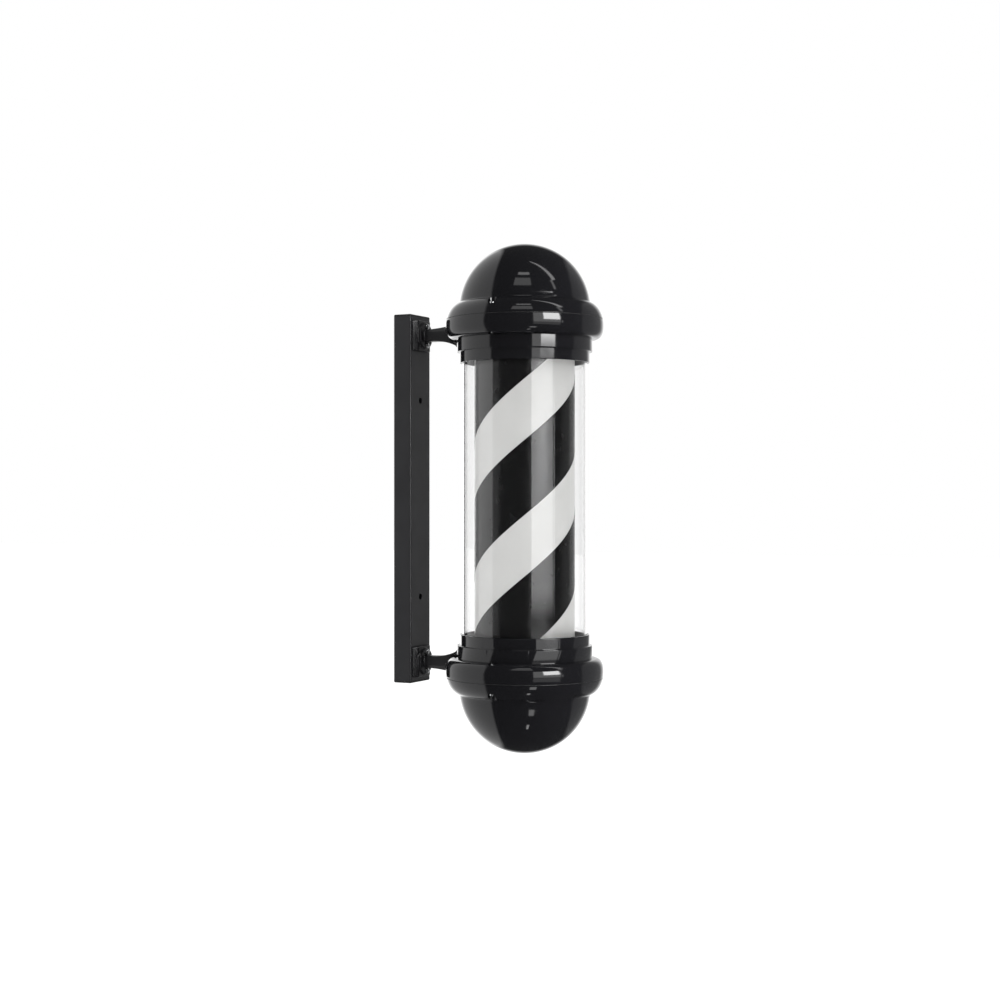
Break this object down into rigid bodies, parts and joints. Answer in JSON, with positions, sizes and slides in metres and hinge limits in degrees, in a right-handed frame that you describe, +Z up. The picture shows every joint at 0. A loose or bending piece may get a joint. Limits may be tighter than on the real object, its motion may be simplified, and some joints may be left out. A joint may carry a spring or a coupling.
{
  "type": "barber pole",
  "caption": "Wall-mounted barber pole: a striped drum turns inside a clear tube between two domed black caps held on an upright bar.",
  "frame": {"origin": "centre of the back face of the upright bar, on the wall", "axes": "+Z up along the bar and the pole, +Y into the wall, -Y out to the pole, +X to the right of someone who faces the wall"},
  "size_m": [0.2172, 0.3011, 0.7],
  "materials": {
    "bar_paint": "satin black powder coat",
    "arm_paint": "satin black paint on a casting",
    "cap_gloss": "gloss black",
    "plug_plastic": "matt black",
    "chrome": "polished chrome",
    "zinc_steel": "zinc plated",
    "seal_rubber": "matt black",
    "clear_plastic": "clear and polished",
    "drum_white": "white, half gloss",
    "stripe_black": "black film, half gloss",
    "turned_aluminium": "satin",
    "bearing_steel": "ground",
    "spring_steel": "blackened",
    "brass": "machined",
    "copper_coil": "varnished copper winding",
    "magnet": "sintered magnet",
    "led_board": "white board with pale yellow chips",
    "driver_case": "white case",
    "block_plastic": "white",
    "splice_plastic": "dark grey",
    "lead_jacket": "matt black jacket"
  },
  "bodies": {
    "frame": {"wall_bar": "bar_paint", "bar_cap_top": "plug_plastic", "bar_cap_bottom": "plug_plastic", "lead_grommet": "seal_rubber", "arm_top": "arm_paint", "arm_bottom": "arm_paint", "foot_screws": "chrome", "nut_plates": "zinc_steel", "saddle_screws": "zinc_steel", "housing_top": "cap_gloss", "housing_bottom": "cap_gloss", "cover_top": "cap_gloss", "cover_bottom": "cap_gloss", "seam_seal_top": "seal_rubber", "seam_seal_bottom": "seal_rubber", "cover_bolts": "chrome", "cover_nuts": "chrome", "tube_gasket_top": "seal_rubber", "tube_gasket_bottom": "seal_rubber", "lead_bush_top": "seal_rubber", "lead_bush_bottom": "seal_rubber", "clear_tube": "clear_plastic", "bearing_inner": "bearing_steel", "post_circlip": "spring_steel", "motor_plate": "zinc_steel", "plate_screws": "zinc_steel", "motor_can": "zinc_steel", "motor_cover": "zinc_steel", "motor_midplate": "zinc_steel", "stator_coil": "copper_coil", "gear_axles": "bearing_steel", "output_bush": "brass", "motor_screws": "zinc_steel", "lamp_plate": "zinc_steel", "lamp_post": "turned_aluminium", "lamp_screws": "zinc_steel", "led_strips": "led_board", "led_driver": "driver_case", "terminal_block": "block_plastic", "splice_block": "splice_plastic", "lead_in": "lead_jacket", "lead_bottom": "lead_jacket", "lead_top": "lead_jacket", "inner_leads": "lead_jacket"},
    "drum": {"drum_shell": "drum_white", "black_stripes": "stripe_black", "turntable": "turned_aluminium", "drive_hub": "turned_aluminium", "hub_screws": "zinc_steel", "top_spider": "turned_aluminium", "drum_screws": "zinc_steel", "bearing_outer": "bearing_steel", "hub_circlip": "spring_steel", "output_shaft": "bearing_steel"},
    "gear_two": {"gear_two": "brass"},
    "gear_one": {"gear_one": "brass"},
    "rotor": {"rotor": "magnet"},
    "ball_ring": {"bearing_balls": "bearing_steel", "bearing_cage": "brass"}
  },
  "joints": [
    {"name": "drum_spin", "type": "hinge", "parent": "frame", "child": "drum", "pos_m": [0, -0.1925, 0], "axis": [0, 0, 1], "continuous": true},
    {"name": "gear_two_spin", "type": "hinge", "parent": "frame", "child": "gear_two", "pos_m": [-0.00906, -0.18055, -0.2311], "axis": [0, 0, 1], "continuous": true},
    {"name": "gear_one_spin", "type": "hinge", "parent": "frame", "child": "gear_one", "pos_m": [-0.02052, -0.18901, -0.2331], "axis": [0, 0, 1], "continuous": true},
    {"name": "rotor_spin", "type": "hinge", "parent": "frame", "child": "rotor", "pos_m": [-0.008, -0.1925, -0.2391], "axis": [0, 0, 1], "continuous": true},
    {"name": "cage_spin", "type": "hinge", "parent": "frame", "child": "ball_ring", "pos_m": [0, -0.1925, 0.1986], "axis": [0, 0, 1], "continuous": true}
  ],
  "couplings": [
    {"joint": "gear_two_spin", "follows": "drum_spin", "ratio": -4},
    {"joint": "gear_one_spin", "follows": "drum_spin", "ratio": 15},
    {"joint": "rotor_spin", "follows": "drum_spin", "ratio": -50},
    {"joint": "cage_spin", "follows": "drum_spin", "ratio": 0.57692}
  ]
}
